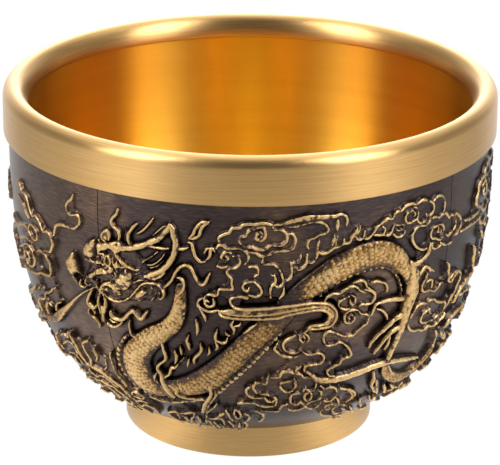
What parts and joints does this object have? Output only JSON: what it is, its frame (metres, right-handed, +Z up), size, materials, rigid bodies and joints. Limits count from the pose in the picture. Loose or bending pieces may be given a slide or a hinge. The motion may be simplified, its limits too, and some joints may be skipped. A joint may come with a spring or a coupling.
{
  "type": "tea cup",
  "caption": "Round brass tea cup with a smooth inner bowl, a broad plain rim, a cast dragon and cloud relief outside and a low foot ring.",
  "frame": {"origin": "centre of the foot ring's underside, on the surface that the cup stands on", "axes": "+Z up along the cup's axis, -Y towards the side seen in the picture, +X to its right"},
  "size_m": [0.07, 0.07, 0.0504],
  "materials": {
    "satin_brass_rim": "satin, brushed round the ring",
    "golden_brass_bowl": "smooth, fine turning marks, deep golden",
    "patinated_brass_relief": "dark brown patina, relief tops rubbed back to gold",
    "satin_brass_foot": "satin, brushed round the ring",
    "plain_brass_base": "satin, faced flat"
  },
  "bodies": {
    "root": {"rim_ring": "satin_brass_rim", "inner_bowl": "golden_brass_bowl", "relief_quarter_front": "patinated_brass_relief", "relief_quarter_right": "patinated_brass_relief", "relief_quarter_back": "patinated_brass_relief", "relief_quarter_left": "patinated_brass_relief", "foot_ring": "satin_brass_foot", "base_disc": "plain_brass_base"}
  },
  "joints": []
}
